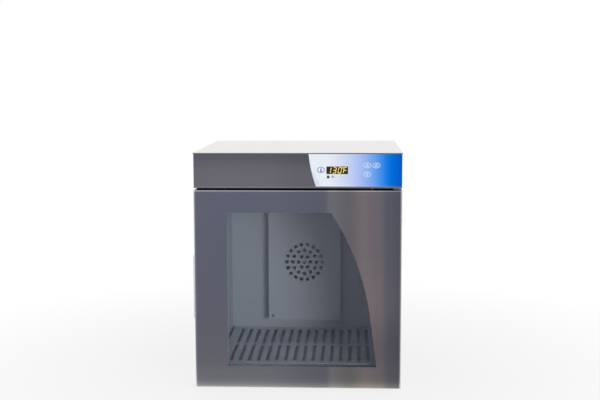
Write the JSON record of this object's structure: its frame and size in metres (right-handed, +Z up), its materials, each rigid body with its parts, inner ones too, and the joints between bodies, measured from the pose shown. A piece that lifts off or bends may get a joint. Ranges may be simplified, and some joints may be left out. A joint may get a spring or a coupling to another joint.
{
  "type": "blanket warming cabinet",
  "caption": "Free-standing steel warming cabinet: glazed door hinged on the right, fan-heated chamber with a slotted floor rack, control head with readout and oval keys.",
  "frame": {"origin": "on the ground, under the middle of the case", "axes": "+Z up, +X to the right as seen from the front, the door faces -Y"},
  "size_m": [0.618, 0.6, 0.7164],
  "materials": {
    "brushed_steel": "stainless steel, brushed side to side",
    "liner_steel": "stainless steel, mill finish",
    "frame_paint": "matt black enamel",
    "plain_steel": "zinc-plated or stainless steel, plain",
    "window_glass": "clear tempered glass",
    "window_rail": "satin anodised",
    "smoked_lens": "black tinted acrylic",
    "overlay_film": "printed film, white to blue",
    "key_film": "satin translucent plastic",
    "gasket_rubber": "black silicone rubber",
    "foot_rubber": "black moulded rubber",
    "mineral_wool": "pressed mineral wool board",
    "circuit_board": "green solder mask",
    "supply_case": "folded aluminium case",
    "moulding": "black moulded plastic",
    "motor_housing": "dark grey paint",
    "magnet_block": "dark ferrite",
    "bronze": "sintered bronze",
    "heater_sheath": "heat-darkened steel sheath"
  },
  "bodies": {
    "cabinet": {"side_panel_left": "brushed_steel", "side_panel_right": "brushed_steel", "top_cover": "brushed_steel", "fascia": "brushed_steel", "front_frame": "frame_paint", "liner_floor": "liner_steel", "liner_left": "liner_steel", "liner_right": "liner_steel", "liner_ceiling": "liner_steel", "liner_back": "liner_steel", "duct_cover": "liner_steel", "floor_rack": "liner_steel", "base_pan": "plain_steel", "rear_cover": "plain_steel", "head_floor": "plain_steel", "heater_flange": "plain_steel", "temp_probe": "plain_steel", "hinge_bracket_top": "plain_steel", "hinge_bracket_bottom": "plain_steel", "hinge_pin_top": "plain_steel", "hinge_pin_bottom": "plain_steel", "display_lens": "smoked_lens", "control_overlay": "overlay_film", "foot_front_left": "foot_rubber", "foot_front_right": "foot_rubber", "foot_rear_left": "foot_rubber", "foot_rear_right": "foot_rubber", "insulation_base": "mineral_wool", "insulation_top": "mineral_wool", "insulation_left": "mineral_wool", "insulation_right": "mineral_wool", "insulation_back": "mineral_wool", "control_board": "circuit_board", "power_supply": "supply_case", "power_inlet": "moulding", "limit_thermostat": "moulding", "fan_motor": "motor_housing", "magnet_upper": "magnet_block", "magnet_lower": "magnet_block", "heater_element": "heater_sheath"},
    "door": {"door_skin": "brushed_steel", "door_liner": "liner_steel", "glass_outer": "window_glass", "glass_inner": "window_glass", "window_frame": "window_rail", "door_insulation": "mineral_wool", "door_gasket": "gasket_rubber", "edge_pull": "brushed_steel", "hinge_bush_top": "bronze", "hinge_bush_bottom": "bronze", "strike_upper": "plain_steel", "strike_lower": "plain_steel", "door_screw_left": "plain_steel", "door_screw_right": "plain_steel"},
    "fan": {"fan_impeller": "plain_steel", "fan_shaft": "plain_steel"},
    "key_up": {"key_up": "key_film"},
    "key_down": {"key_down": "key_film"},
    "key_mode": {"key_mode": "key_film"}
  },
  "joints": [
    {"name": "door_swing", "type": "hinge", "parent": "cabinet", "child": "door", "pos_m": [0.29, -0.271, 0.313], "axis": [0, 0, 1], "range_deg": [0, 120]},
    {"name": "fan_spin", "type": "hinge", "parent": "cabinet", "child": "fan", "pos_m": [0, 0.2, 0.3108], "axis": [0, 1, 0], "continuous": true},
    {"name": "key_up_press", "type": "slide", "parent": "cabinet", "child": "key_up", "axis": [0, 1, 0], "range_m": [0, 0.0006], "stiffness_N_per_m": 1000},
    {"name": "key_down_press", "type": "slide", "parent": "cabinet", "child": "key_down", "axis": [0, 1, 0], "range_m": [0, 0.0006], "stiffness_N_per_m": 1000},
    {"name": "key_mode_press", "type": "slide", "parent": "cabinet", "child": "key_mode", "axis": [0, 1, 0], "range_m": [0, 0.0006], "stiffness_N_per_m": 1000}
  ]
}
